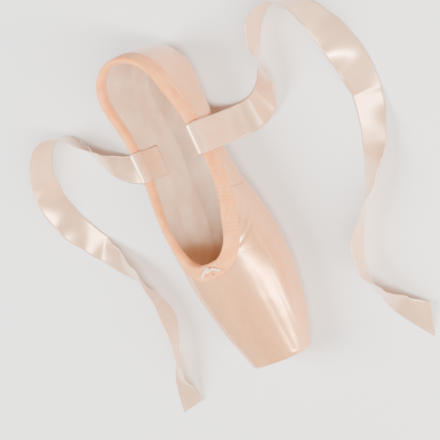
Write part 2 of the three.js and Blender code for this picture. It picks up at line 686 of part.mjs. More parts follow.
// A ribbon: a thin strip along its route
function ribbon(side, floorRows) {
  const drop = RIBBON_DROP.map(([y, z]) => ({ place: new THREE.Vector3(RIBBON_X, side * y, z), lean: 0 }));
  const lying = floorRows.map(({ at, lean }) => {
    const tilt = THREE.MathUtils.degToRad(lean);
    return { place: new THREE.Vector3(...at, ribbonRest(tilt)), lean: tilt };
  });
  const rows = [...drop, ...lying];
  const path = new THREE.CatmullRomCurve3(rows.map(({ place }) => place), false, "centripetal");
  const rings = [];
  for (let k = 0; k <= RIBBON_STEPS; k++) {
    const at = (k / RIBBON_STEPS) * (rows.length - 1);
    const before = Math.min(Math.floor(at), rows.length - 2);
    const lean = between(rows[before].lean, rows[before + 1].lean, smooth(0, 1, at - before));
    const middle = path.getPoint(k / RIBBON_STEPS);
    const along = path.getTangent(k / RIBBON_STEPS);
    if (before >= drop.length) middle.z = ribbonRest(lean);
    const heading = before >= drop.length ? along : new THREE.Vector3(0, side, 0);
    const wide = new THREE.Vector3(heading.y, -heading.x, 0).normalize().multiplyScalar(Math.cos(lean));
    wide.z = Math.sin(lean);
    wide.addScaledVector(along, -wide.dot(along)).normalize();
    const thick = wide.clone().cross(along).normalize().multiplyScalar(RIBBON_THICKNESS / 2);
    const half = wide.clone().multiplyScalar(RIBBON_WIDTH / 2);
    const ring = [[1, 1], [0, 1], [-1, 1], [-1, -1], [0, -1], [1, -1]].map(([a, b]) =>
      middle.clone().addScaledVector(half, a).addScaledVector(thick, b),
    );
    rings.push(ring);
  }
  return loft(rings, { thin: true });
}

const shoe = new THREE.Group();
shoe.name = "pointe_shoe";

function addPiece(name, solid, colour, roughness) {
  const material = new THREE.MeshStandardMaterial({ color: colour, roughness, metalness: 0 });
  const mesh = new THREE.Mesh(toGeometry(solid), material);
  mesh.name = name;
  shoe.add(mesh);
}

addPiece("upper", upper(), COLOURS.satin, 0.35);
addPiece("outsole", outsole(), COLOURS.leather, 0.75);
addPiece("insole", insole(), COLOURS.lining, 0.9);
addPiece("collar_casing", casing(), COLOURS.casing, 0.55);
addPiece("drawstring_knot", knot(), COLOURS.cord, 0.7);
addPiece("drawstring_end_left", cordEnd(1), COLOURS.cord, 0.7);
addPiece("drawstring_end_right", cordEnd(-1), COLOURS.cord, 0.7);
addPiece("ribbon_left", ribbon(1, LEFT_RIBBON), COLOURS.ribbon, 0.35);
addPiece("ribbon_right", ribbon(-1, RIGHT_RIBBON), COLOURS.ribbon, 0.35);

export default shoe;
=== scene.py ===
"""A pointe shoe, standing empty on its sole, with its ankle ribbons lying loose beside it."""

from bisect import bisect_left
from math import asin, atan2, copysign, cos, degrees, exp, hypot, pi, radians, sin, sqrt

import bmesh
import bpy
from mathutils import Matrix, Vector, noise


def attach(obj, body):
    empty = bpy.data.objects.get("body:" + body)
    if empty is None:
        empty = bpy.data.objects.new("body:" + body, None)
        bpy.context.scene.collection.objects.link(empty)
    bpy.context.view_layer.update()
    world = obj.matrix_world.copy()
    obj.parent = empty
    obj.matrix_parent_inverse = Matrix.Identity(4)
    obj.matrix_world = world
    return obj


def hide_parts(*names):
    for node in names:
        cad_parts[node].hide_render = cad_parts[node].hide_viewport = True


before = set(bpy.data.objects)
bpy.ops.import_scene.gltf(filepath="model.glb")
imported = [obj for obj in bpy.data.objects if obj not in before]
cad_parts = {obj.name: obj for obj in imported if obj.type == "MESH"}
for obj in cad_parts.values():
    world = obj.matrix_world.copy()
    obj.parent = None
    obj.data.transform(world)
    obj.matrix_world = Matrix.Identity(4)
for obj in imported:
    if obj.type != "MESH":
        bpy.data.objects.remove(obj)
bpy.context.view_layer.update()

# The camera looks down on the shoe's left side, square to its length, and is rolled so that the toe points
# down the picture, leaning to the right. Sizes are in millimetres unless a comment says otherwise.
MM = 0.001
ELEVATION = radians(52)
TOE_LEAN = radians(25)
LENS_MM = 100
SENSOR_MM = 36
PICTURE_WIDTH = 306
PICTURE_MIDDLE = (-6, -17)

looking = Vector((0, -cos(ELEVATION), -sin(ELEVATION)))
uphill = Vector((0, -sin(ELEVATION), cos(ELEVATION)))
toe_way = Vector((1, 0, 0))
picture_right = toe_way * sin(TOE_LEAN) - uphill * cos(TOE_LEAN)
picture_up = -toe_way * cos(TOE_LEAN) - uphill * sin(TOE_LEAN)

scene = bpy.context.scene
lens = bpy.data.cameras.new("picture")
lens.lens = LENS_MM
lens.sensor_width = SENSOR_MM
camera = bpy.data.objects.new("camera", lens)
aim = (picture_right * PICTURE_MIDDLE[0] + picture_up * PICTURE_MIDDLE[1]) * MM
stand_off = PICTURE_WIDTH * MM * LENS_MM / SENSOR_MM
facing = Matrix((picture_right, picture_up, -looking)).transposed().to_4x4()
camera.matrix_world = Matrix.Translation(aim - looking * stand_off) @ facing
scene.collection.objects.link(camera)
scene.camera = camera

# Studio: pale seamless floor, a long slim soft box halfway up on the shoe's left that draws the satin's
# bright band, a broad one halfway up on its right, and a pale room all round. It is built in metres.
FLOOR_REACH = 4.0
FLOOR_COLOUR = (0.82, 0.82, 0.83, 1)
FLOOR_ROUGHNESS = 0.85
ROOM_COLOUR = (0.98, 0.98, 1.0, 1)
ROOM_STRENGTH = 0.38


def soft_box(name, place, aim_at, width, height, watts, colour):
    """An area light at a place, turned to face a point."""
    lamp = bpy.data.lights.new(name, "AREA")
    lamp.shape = "RECTANGLE"
    lamp.size, lamp.size_y = width, height
    lamp.energy = watts
    lamp.color = colour
    light = bpy.data.objects.new(name, lamp)
    light.location = place
    light.rotation_euler = (Vector(aim_at) - Vector(place)).to_track_quat("-Z", "X").to_euler()
    scene.collection.objects.link(light)


def set_sockets(owner, node, **fixed):
    """Sets what is the same all over on a node, and gives the node's sockets."""
    owner.use_nodes = True
    sockets = owner.node_tree.nodes[node].inputs
    for socket, value in fixed.items():
        sockets[socket.replace("_", " ")].default_value = value
    return sockets


soft_box("key_box", (0.6, 1.0, 0.88), (0.02, 0, 0.02), 1.8, 0.3, 72, (1.0, 0.95, 0.88))
soft_box("fill_box", (-0.3, -1.0, 1.25), (0, 0, 0.02), 1.3, 0.8, 62, (1.0, 0.98, 0.95))

room = bpy.data.worlds.new("room")
set_sockets(room, "Background", Color=ROOM_COLOUR, Strength=ROOM_STRENGTH)
scene.world = room

floor_shape = bmesh.new()
bmesh.ops.create_grid(floor_shape, x_segments=1, y_segments=1, size=FLOOR_REACH)
floor_mesh = bpy.data.meshes.new("floor")
floor_shape.to_mesh(floor_mesh)
floor = bpy.data.objects.new("floor", floor_mesh)
scene.collection.objects.link(floor)
floor_paint = bpy.data.materials.new("floor")
set_sockets(floor_paint, "Principled BSDF", Base_Color=FLOOR_COLOUR, Roughness=FLOOR_ROUGHNESS)
floor_mesh.materials.append(floor_paint)

# Ankle ribbons: two lengths of double-faced satin ribbon, sewn inside the quarters under the drawstring
# casing. They come over the collar, fall to the floor and lie loose, flat where they run straight and on
# edge where they turn. The free ends are cut on a slant.
RIBBON_WIDTH = 22
RIBBON_THICKNESS = 0.5
RIBBON_CLOTH = 0.42
RIBBON_STEPS = 560
RIBBON_ACROSS = 18
RIBBON_X = -42
RIBBON_SLANT = 5
SLANTED_STEPS = 25
SELVEDGE = 1
SELVEDGE_RIB = 0.9
SEWN_LENGTH = 15
SEWING_PITCH = 2.1
STITCH_RADIUS = 0.17
# The fall over the collar, as distance from the shoe's middle plane and height
RIBBON_DROP = [
    (25.3, 17), (27, 25), (26.6, 31), (25.4, 35.5), (24.1, 38.5), (23.8, 41.2), (24.6, 43.4),
    (26.4, 44.4), (28.5, 44.3), (30.3, 42.9), (31, 40), (31.5, 32), (32, 22), (34.4, 11.5), (39.5, 4),
]
# Along the floor: place, and degrees that the ribbon leans up from lying flat
LEFT_RIBBON = [
    (-43, 51, 0), (-47, 62, 8), (-56, 71, 30), (-69, 76, 58), (-83, 80, 80), (-95, 88, 88),
    (-100, 102, 88), (-94, 117, 84), (-79, 127, 66), (-59, 133, 40), (-38, 135, 15), (-16, 133, -3),
    (6, 127, -20), (26, 116, -45), (44, 102, -72), (61, 88, -84), (81, 82, -74), (99, 86, -50),
    (115, 96, -25), (128, 108, -8),
]
RIGHT_RIBBON = [
    (-43, -51, 0), (-45, -63, 4), (-52, -76, 20), (-65, -88, 45), (-81, -98, 72), (-93, -112, 86),
    (-93, -129, 88), (-79, -143, 80), (-58, -148, 60), (-35, -145, 34), (-13, -134, 8), (6, -119, -14),
    (24, -104, -40), (43, -93, -68), (63, -89, -80), (83, -94, -68), (100, -103, -42), (116, -110, -16),
    (131, -113, -4),
]
# Soft creases across a ribbon, left from when it was wound up: how far along, how wide and how deep
RIBBON_CREASES = [(96, 5, 0.5), (171, 7, 0.6), (238, 5, 0.45), (301, 6, 0.5), (369, 5, 0.4)]


def between(low, high, share):
    return low + (high - low) * share


def smooth(low, high, at):
    share = min(1, max(0, (at - low) / (high - low)))
    return share * share * (3 - 2 * share)


def runs_along(places):
    """How far along a line each of its places lies."""
    gone = [0]
    for a, b in zip(places, places[1:]):
        gone.append(gone[-1] + (b - a).length)
    return gone


def curve_through(points, steps):
    """Places and directions at even shares of a smooth curve that passes through each of the points."""
    points = [*points]
    runs = [2 * points[0] - points[1], *points, 2 * points[-1] - points[-2]]
    for k in range(steps + 1):
        at = k / steps * (len(points) - 1)
        i = min(int(at), len(points) - 2)
        a, b, c, d = runs[i : i + 4]
        before, here, after = (max(1e-4, sqrt((q - p).length)) for p, q in ((a, b), (b, c), (c, d)))
        leave = ((b - a) / before - (c - a) / (before + here) + (c - b) / here) * here
        arrive = ((c - b) / here - (d - b) / (here + after) + (d - c) / after) * here
        t = at - i
        place = b * (2 * t**3 - 3 * t**2 + 1) + leave * (t**3 - 2 * t**2 + t)
        place += c * (3 * t**2 - 2 * t**3) + arrive * (t**3 - t**2)
        along = b * (6 * t**2 - 6 * t) + leave * (3 * t**2 - 4 * t + 1)
        along += c * (6 * t - 6 * t**2) + arrive * (3 * t**2 - 2 * t)
        yield place, along.normalized(), at


def ribbon_rest(lean):
    """Height of a ribbon's middle line over the floor where it leans."""
    return RIBBON_WIDTH / 2 * abs(sin(lean)) + RIBBON_THICKNESS


def ribbon_line(side, floor_rows):
    """The ribbon's middle line as rows of place, direction across its width, and direction through it."""
    rows = [(Vector((RIBBON_X, side * y, z)), 0) for y, z in RIBBON_DROP]
    for x, y, leaning in floor_rows:
        lean = radians(leaning)
        rows.append((Vector((x, y, ribbon_rest(lean))), lean))
    line = []
    for place, along, at in curve_through((place for place, _ in rows), RIBBON_STEPS):
        before = min(int(at), len(rows) - 2)
        lean = between(rows[before][1], rows[before + 1][1], smooth(0, 1, at - before))
        on_floor = before >= len(RIBBON_DROP)
        if on_floor:
            place.z = ribbon_rest(lean)
        heading = along if on_floor else Vector((0, side, 0))
        across = Vector((heading.y, -heading.x, 0)).normalized() * cos(lean)
        across.z = sin(lean)
        across = (across - along * across.dot(along)).normalized()
        line.append((place, across, across.cross(along).normalized()))
    return line


def ribbon_columns(line, side):
    """The ribbon's corners, with its drift and creases."""
    gone = runs_along([place for place, _, _ in line])
    for i, (place, across, through) in enumerate(line):
        run = gone[i]
        column = []
        for j in range(RIBBON_ACROSS + 1):
            share = 2 * j / RIBBON_ACROSS - 1
            drift = 0.14 * noise.noise(Vector((run / 26, share * 0.8, side * 7.0)))
            off = run - 3 * share
            creases = (deep * exp(-(((off - at) / wide) ** 2)) for at, wide, deep in RIBBON_CREASES)
            lift = (drift + 0.22 * sum(creases)) * smooth(70, 90, run)
            slant = RIBBON_SLANT * share * smooth(RIBBON_STEPS - SLANTED_STEPS, RIBBON_STEPS, i)
            out = share * RIBBON_WIDTH / 2
            corner = place + across * out + through * lift - across.cross(through) * slant
            corner.z = max(corner.z, 0.3)
            column.append((corner, (run, out)))
        yield column


def skin_through(columns, merge=0, mark=None):
    """A skin through columns of corners, each with its place, its place in the cloth and, where there is a
    mark, what is kept under it. Corners closer than merge become one."""
    shape = bmesh.new()
    chart = shape.loops.layers.uv.new("cloth")
    marked = shape.verts.layers.float.new(mark) if mark else None
    across, down = len(columns) - 1, len(columns[0]) - 1
    bmesh.ops.create_grid(shape, x_segments=across, y_segments=down, size=1)
    shape.verts.index_update()
    flat = {}
    for corner in shape.verts:
        given = columns[round((corner.co.x + 1) / 2 * across)][round((corner.co.y + 1) / 2 * down)]
        corner.co, flat[corner.index] = given[:2]
        if mark:
            corner[marked] = given[2]
    for face in shape.faces:
        for loop in face.loops:
            u, v = flat[loop.vert.index]
            loop[chart].uv = (u * MM, v * MM)
    if merge:
        bmesh.ops.remove_doubles(shape, verts=shape.verts, dist=merge)
        bmesh.ops.dissolve_degenerate(shape, dist=0.001, edges=shape.edges)
    return shape


def new_piece(name, shape, paints, slot, *nodes):
    """A finished shape made a piece that rides with the shoe and stands for CAD nodes."""
    bmesh.ops.scale(shape, verts=shape.verts, vec=(MM, MM, MM))
    mesh = bpy.data.meshes.new(name)
    shape.to_mesh(mesh)
    shape.free()
    mesh.shade_smooth()
    for paint in paints:
        mesh.materials.append(paint)
    piece = bpy.data.objects.new(name, mesh)
    scene.collection.objects.link(piece)
    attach(piece, "root")
    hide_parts(*nodes)
    return piece


class Value:
    """A socket of a material's nodes. Arithmetic on it adds the Math node that works it out."""

    def __init__(self, tree, socket=None):
        self.tree = tree
        self.socket = socket

    def node(self, kind, settings=None, inputs=None, output=0):
        """Adds a node, its settings first and then its inputs, and gives the output asked for."""
        made = self.tree.nodes.new("ShaderNode" + kind)
        for name, value in (settings or {}).items():
            setattr(made, name, value)
        for name, value in (inputs or {}).items():
            if isinstance(value, Value):
                self.tree.links.new(value.socket, made.inputs[name])
            else:
                made.inputs[name].default_value = value
        return Value(self.tree, made.outputs[output])

    def maths(self, operation, first, second=0.0):
        return self.node("Math", {"operation": operation}, {0: first, 1: second})

    def __add__(self, other):
        return self.maths("ADD", self, other)

    def __sub__(self, other):
        return self.maths("SUBTRACT", self, other)

    def __rsub__(self, other):
        return self.maths("SUBTRACT", other, self)

    def __mul__(self, other):
        return self.maths("MULTIPLY", self, other)

    __radd__ = __add__
    __rmul__ = __mul__

    def __abs__(self):
        return self.maths("ABSOLUTE", self)

    def fade(self, low, high):
        """0 below low and 1 above high, smoothly; the other way round where low is the larger."""
        return self.node("MapRange", {"interpolation_type": "SMOOTHSTEP"}, {"Value": self, 1: low, 2: high})

    def wave(self, pitch):
        """From -1 to 1 and back, once in so many millimetres."""
        return self.maths("SINE", self * (2 * pi / (pitch * MM)))

    def mixed(self, first, second):
        """A colour from first, where this value is 0, to second, where it is 1."""
        colours = [c if isinstance(c, Value) else (*c, 1) for c in (first, second)]
        return self.node("Mix", {"data_type": "RGBA"}, {0: self, 6: colours[0], 7: colours[1]}, 2)

    def relief(self, strength, depth, onto=None, sunk=False):
        """The normal of a surface that this value raises, or sinks, by so many millimetres at most."""
        inputs = {"Strength": strength, "Distance": depth * MM, "Height": self}
        if onto:
            inputs["Normal"] = onto
        return self.node("Bump", {"invert": sunk}, inputs)


def new_paint(name, **fixed):
    """A material with what is the same all over it set: itself, its start and its shader's sockets."""
    paint = bpy.data.materials.new(name)
    sockets = set_sockets(paint, "Principled BSDF", **fixed)
    return paint, Value(paint.node_tree), sockets


def feed(sockets, **links):
    """Links what varies over a surface to its shader."""
    for socket, value in links.items():
        value.tree.links.new(value.socket, sockets[socket.replace("_", " ")])


def cloth_axes(start):
    """How far along the cloth and across it, in metres."""
    chart = start.node("UVMap", {"uv_map": "cloth"})
    return [start.node("SeparateXYZ", None, {"Vector": chart}, axis) for axis in (0, 1)]


def cloth_noise(start, across, along, detail):
    """Noise laid on the cloth itself, by its grains in a metre across the cloth and along it."""
    chart = start.node("UVMap", {"uv_map": "cloth"})
    place = start.node("Mapping", None, {"Vector": chart, "Scale": (along, across, 1)})
    return start.node("TexNoise", None, {"Vector": place, "Scale": 1.0, "Detail": detail})


def satin_paint(name, base, deep, bright, rib, rib_height):
    """Silk satin with slubs, faint shading and a very fine rib. Gives its colour and relief too, for an
    edge or a seam to be laid over them."""
    paint, start, sockets = new_paint(
        name, Metallic=0.32, Specular_IOR_Level=0.6, Sheen_Weight=0.04, Sheen_Roughness=0.35,
        Sheen_Tint=(1.0, 0.93, 0.86, 1), Coat_Roughness=0.2, Coat_IOR=1.45,
    )
    broad = cloth_noise(start, 38, 16, 2.0)
    slubs = cloth_noise(start, 1500, 110, 3.0)
    threads = cloth_noise(start, rib, rib * 0.06, 1.0)
    shade = broad.fade(0.35, 0.7).mixed(deep, base)
    shade = (slubs.fade(0.45, 0.75) * 0.28).mixed(shade, bright)
    bump = (slubs * 0.55 + threads * 0.45).relief(0.5, rib_height)
    feed(sockets, Roughness=0.22 + slubs * 0.1 + broad * 0.06, Coat_Weight=0.6 + broad * 0.2)
    return paint, start, sockets, shade, bump


def ribbon_paint():
    """Ribbon satin, its selvedges woven closer: a darker line with fine cross ribs along both edges."""
    colours = (0.90, 0.57, 0.35), (0.84, 0.49, 0.28), (0.97, 0.73, 0.53)
    paint, start, sockets, shade, bump = satin_paint("ribbon_satin", *colours, 2600, 0.05)
    run, across = cloth_axes(start)
    inner = RIBBON_WIDTH / 2 - SELVEDGE
    selvedge = abs(across).fade((inner - 0.15) * MM, (inner + 0.15) * MM)
    ribs = run.wave(SELVEDGE_RIB) * 0.5 + 0.5
    raised = (selvedge * (0.7 + ribs * 0.6)).relief(0.7, 0.1, bump)
    edged = (selvedge * (0.5 - ribs * 0.2)).mixed(shade, (0.74, 0.42, 0.25))
    feed(sockets, Base_Color=edged, Normal=raised)
    return paint


def thread_paint(name, colour, deep):
    """Twisted thread or braided cord, its fibres catching a little light."""
    paint, start, sockets = new_paint(name, Specular_IOR_Level=0.5, Sheen_Weight=0.3)
    place = start.node("TexCoord", None, None, 3)
    fibres = start.node("TexNoise", None, {"Vector": place, "Scale": 1500.0, "Detail": 1.0})
    shade = fibres.fade(0.2, 0.55).mixed(deep, colour)
    feed(sockets, Base_Color=shade, Normal=fibres.relief(0.3, 0.04), Roughness=0.5 + fibres * 0.2)
    return paint


def stitch(shape, a, b, lift):
    """One stitch: a short thread that dives into the cloth at both ends."""
    run = b - a
    turned = run.to_track_quat("Z", "X").to_matrix()
    for corner in bmesh.ops.create_uvsphere(shape, u_segments=7, v_segments=5, radius=1)["verts"]:
        x, y, long = corner.co
        scaled = Vector((x * STITCH_RADIUS, y * STITCH_RADIUS, long * run.length / 2))
        corner.co = (a + b) / 2 + turned @ scaled + lift * (1 - long * long)


ribbon_satin = ribbon_paint()


def add_ribbon(name, side, floor_rows):
    line = ribbon_line(side, floor_rows)
    shape = skin_through([*ribbon_columns(line, side)])
    piece = new_piece(name + "_satin", shape, [ribbon_satin], "ribbon_satin", name)
    wall = piece.modifiers.new("thickness", "SOLIDIFY")
    wall.thickness = RIBBON_CLOTH * MM
    wall.offset = 0
    path = [place * MM for place, _, _ in line]
    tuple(path[0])
    round(runs_along(path)[-1], 3)
    return line


def sewing_of(line, side):
    """The stitches that hold a ribbon's end inside the shoe, down both edges and across the end."""
    shape = bmesh.new()
    inward = Vector((0, -side, 0))
    reach = RIBBON_WIDTH / 2 - 1.1
    down = [k for k in range(len(line)) if (line[k][0] - line[0][0]).length < SEWN_LENGTH]
    corners = []
    for share, edge in ((0.98, -1), (0.09, -1), (0.09, 1), (0.98, 1)):
        place, across, _ = line[down[round(share * (len(down) - 1))]]
        corners.append(place + across * (edge * reach))
    for a, b in zip(corners, corners[1:]):
        count = round((b - a).length / SEWING_PITCH)
        for k in range(count):
            wobble = Vector((0.16 * sin(k * 2.3), 0, 0.16 * cos(k * 3.1)))
            ends = [between(a, b, (k + share) / count) + inward * 0.28 + wobble for share in (0.18, 0.82)]
            stitch(shape, *ends, inward * 0.12)
    return shape


left_line = add_ribbon("ribbon_left", 1, LEFT_RIBBON)
right_line = add_ribbon("ribbon_right", -1, RIGHT_RIBBON)
ribbon_thread = thread_paint("ribbon_thread", (0.93, 0.74, 0.58), (0.70, 0.48, 0.34))
new_piece("ribbon_left_sewing", sewing_of(left_line, 1), [ribbon_thread], "ribbon_satin", "ribbon_left")
new_piece("ribbon_right_sewing", sewing_of(right_line, -1), [ribbon_thread], "ribbon_satin", "ribbon_right")

# Upper: cotton-backed silk satin, lined with cotton and stiffened into a box with a flat platform. It is
# pulled over a last, pleated under the toe and cemented to the shank, with seams at both sides and the heel.
QUARTER_TURN = pi / 2
LENGTH = 232
FRONT = LENGTH / 2
PLATFORM_WIDTH = 45
PLATFORM_HEIGHT = 30
BALL_WIDTH = 76
BALL_BACK = 69
WAIST_WIDTH = 59
WAIST_BACK = 152
HEEL_WIDTH = 57
HEEL_RADIUS = 29
HEEL_BACK = LENGTH - HEEL_RADIUS
HEEL_X = FRONT - HEEL_BACK
HEEL_RUN = HEEL_BACK + HEEL_RADIUS * QUARTER_TURN
SIDE_SEAM_RUN = 120
SOLE_THICKNESS = 2.6
BASE_HEIGHT = SOLE_THICKNESS + 0.36
VAMP_LENGTH = 78
VAMP_HEIGHT = 49
THROAT_HEIGHT = BASE_HEIGHT + VAMP_HEIGHT
ARCH_COLLAR = 40.5
HEEL_COLLAR = 56
BOX_WALL = 3.2
QUARTER_WALL = 1.6
PLATFORM_WALL = 8
PLATFORM_EDGE_RADIUS = 2.4
# The last's sections, each ending with the height of its widest line as a share of the platform's, and its
# squareness under and over that line. Up to the ball they start with shares of the way there in length,
# width and height; behind it, with distance behind the platform, half width and share of the vamp's height.
BOX_SECTIONS = [
    (0, 0, 0, 0.48, 2.5, 2.5), (0.19, 0.27, 0.26, 0.5, 2.7, 2.45), (0.42, 0.58, 0.52, 0.53, 3.0, 2.4),
    (0.67, 0.81, 0.74, 0.56, 3.1, 2.4), (1, 1, 0.94, 0.59, 3.1, 2.35),
]
REAR_SECTIONS = [
    (1.13 * VAMP_LENGTH, 0.488 * BALL_WIDTH, 1.028, 0.63, 3.0, 2.35),
    (1.36 * VAMP_LENGTH, 0.455 * BALL_WIDTH, 1.06, 0.68, 2.8, 2.35),
    (0.84 * WAIST_BACK, 0.535 * WAIST_WIDTH, 1.12, 0.72, 2.5, 2.35),
    (WAIST_BACK, 0.5 * WAIST_WIDTH, 1.17, 0.75, 2.4, 2.35),
    (between(WAIST_BACK, HEEL_BACK, 0.5), between(WAIST_WIDTH, HEEL_WIDTH, 0.6) / 2, 1.3, 0.72, 2.7, 2.3),
    (HEEL_BACK, 0.5 * HEEL_WIDTH, 1.52, 0.68, 3.1, 2.25),
]
COLLAR_HEIGHTS = [
    (VAMP_LENGTH, THROAT_HEIGHT),
    (1.13 * VAMP_LENGTH, between(ARCH_COLLAR, THROAT_HEIGHT, 0.84)),
    (1.36 * VAMP_LENGTH, between(ARCH_COLLAR, THROAT_HEIGHT, 0.57)),
    (0.84 * WAIST_BACK, between(ARCH_COLLAR, THROAT_HEIGHT, 0.2)),
    (WAIST_BACK, ARCH_COLLAR),
    (between(WAIST_BACK, HEEL_BACK, 0.5), between(ARCH_COLLAR, HEEL_COLLAR, 0.17)),
    (HEEL_BACK, between(ARCH_COLLAR, HEEL_COLLAR, 0.66)),
    (LENGTH, HEEL_COLLAR),
]
# The outsole's outline: for its width at the ball, waist and heel, shares of its length and of that width
SOLE_TOE_END = 21
SOLE_HEEL_END = 220
SOLE_BALL = [(0, 0.1), (0.004, 0.155), (0.014, 0.205), (0.042, 0.288), (0.08, 0.363), (0.13, 0.435)]
SOLE_BALL += [(0.175, 0.479), (0.225, 0.5), (0.27, 0.487), (0.33, 0.43), (0.4, 0.36)]
SOLE_WAIST = [(0.48, 0.545), (0.56, 0.5), (0.66, 0.51)]
SOLE_HEEL = [(0.76, 0.455), (0.86, 0.493), (0.92, 0.497), (0.96, 0.46), (0.985, 0.385), (1, 0.3)]
SOLE_OUTLINE = [(46, SOLE_BALL), (25.6, SOLE_WAIST), (31.2, SOLE_HEEL)]
PLEAT_FAN_X = 89
PLEAT_DEGREES = 11
PLEAT_HEIGHT = 0.8
# Creases as soft troughs: along the shoe and round its girth where each starts and ends, width and depth.
# The left is positive. Round the girth, these are measured from the outsole's edge.
SOLE_CREASES = [
    (30, 3, 22, 17, 1.5, 0.5), (35, 2, 31, 14, 1.8, 0.3), (42, 2, 41, 12, 2.2, 0.25),
    (52, 2, 53, 10, 2.4, 0.2), (84, 1, 88, 9, 2, 0.25), (97, 1, 104, 16, 2.4, 0.4),
    (107, 1, 117, 20, 2.6, 0.45), (119, 1, 129, 17, 2.4, 0.4), (131, 1, 138, 14, 2.6, 0.35),
    (146, 1, 149, 12, 2.4, 0.3), (163, 1, 161, 11, 2.4, 0.25), (181, 1, 179, 12, 2.2, 0.25),
    (204, 2, 203, 12, 2, 0.3), (217, 2, 218, 13, 2.2, 0.3), (231, 2, 233, 12, 2.2, 0.3),
    (30, -3, 24, -15, 1.5, 0.45), (37, -2, 34, -15, 1.8, 0.3), (45, -2, 46, -11, 2.4, 0.25),
    (60, -2, 61, -9, 2.4, 0.2), (92, -1, 99, -13, 2.2, 0.35), (103, -1, 112, -19, 2.6, 0.45),
    (115, -1, 124, -18, 2.4, 0.4), (127, -1, 135, -15, 2.6, 0.4), (141, -1, 145, -12, 2.4, 0.3),
    (158, -1, 157, -11, 2.4, 0.25), (176, -1, 173, -12, 2.2, 0.25), (199, -2, 198, -12, 2, 0.3),
    (211, -2, 212, -13, 2.2, 0.3), (225, -2, 226, -12, 2.2, 0.3), (238, -2, 239, -12, 2.2, 0.3),
]
# Creases measured from the collar's raw edge, or in front of the throat from the vamp's middle
EDGE_CREASES = [
    (5, 21, 62, 27, 2.4, 0.28), (9, 30, 58, 37, 2, 0.2), (4, -21, 58, -27, 2.4, 0.26),
    (76, 4, 52, 17, 2.2, 0.14), (76, -4, 55, -16, 2.2, 0.14), (84, 12, 104, 27, 2.4, 0.3),
    (92, 12, 114, 24, 2.6, 0.28), (84, -12, 103, -26, 2.4, 0.3), (95, -12, 116, -25, 2.6, 0.26),
    (136, 11, 142, 24, 2.4, 0.25), (151, 11, 153, 23, 2.4, 0.22), (134, -11, 141, -25, 2.4, 0.25),
    (149, -11, 152, -22, 2.4, 0.22), (196, 10, 200, 26, 2.6, 0.3), (222, 10, 214, 24, 2.4, 0.3),
    (198, -10, 203, -25, 2.6, 0.3), (224, -10, 218, -23, 2.4, 0.3),
]
# Deeper folds under the toe, seen in plan, from the outsole's tip towards the platform
TOE_CREASES = [
    (88.5, 10.5, 112, 16.5, 1.1, 1.4), (87, 14, 98, 19.5, 1, 0.8), (84, 17, 93, 23.5, 1.1, 0.65),
    (93, 4.2, 111, 6.4, 1.3, 0.7), (94, -0.8, 110, -1.6, 1.3, 0.6), (93, -5.6, 111, -9.4, 1.2, 0.75),
    (89, -10.5, 104, -19, 1.1, 1.1), (85, -15.5, 95, -23, 1.1, 0.7),
]


def stretch_at(marks, place):
    """Which stretch between rising marks a place falls in, and its share of that stretch."""
    i = min(max(bisect_left(marks, place) - 1, 0), len(marks) - 2)
    return i, (place - marks[i]) / (marks[i + 1] - marks[i])


def smooth_table(rows):
    """Rows of a place and its values made a function that gives the values anywhere, without overshoot."""
    marks = [row[0] for row in rows]
    slopes = [[(q - p) / (b[0] - a[0]) for p, q in zip(a[1:], b[1:])] for a, b in zip(rows, rows[1:])]
    tangents = [slopes[0]]
    for before, after in zip(slopes, slopes[1:]):
        tangents.append([0 if p * q <= 0 else 2 * p * q / (p + q) for p, q in zip(before, after)])
    tangents.append(slopes[-1])

    def at(place):
        i, t = stretch_at(marks, min(max(place, marks[0]), marks[-1]))
        span = marks[i + 1] - marks[i]
        values = []
        for a, b, m, n in zip(rows[i][1:], rows[i + 1][1:], tangents[i], tangents[i + 1]):
            ends = a * (1 + 2 * t) * (1 - t) ** 2 + b * t * t * (3 - 2 * t)
            values.append(ends + m * span * t * (1 - t) ** 2 + n * span * t * t * (t - 1))
        return values

    return at


sections = []
for back, wide, tall, *rest in BOX_SECTIONS:
    half = between(PLATFORM_WIDTH, BALL_WIDTH, wide) / 2
    sections.append((back * BALL_BACK, half, between(PLATFORM_HEIGHT, VAMP_HEIGHT, tall), *rest))
for back, half, tall, *rest in REAR_SECTIONS:
    sections.append((back, half, tall * VAMP_HEIGHT, *rest))
outline = []
for width, rows in SOLE_OUTLINE:
    outline += [(between(SOLE_TOE_END, SOLE_HEEL_END, back), half * width) for back, half in rows]
last_at = smooth_table(sections)
collar_height_at = smooth_table(COLLAR_HEIGHTS)
sole_half_at = smooth_table(outline)


def spring_at(back):
    """How far the last's underside rises at the toe and under the arch."""
    toe = 4 * max(0, 1 - back / 50) ** 2
    return toe + 3 * sin(pi * min(1, max(0, (back - 100) / 72))) ** 2


def wall_at(back):
    return between(BOX_WALL, QUARTER_WALL, smooth(70, 112, back))


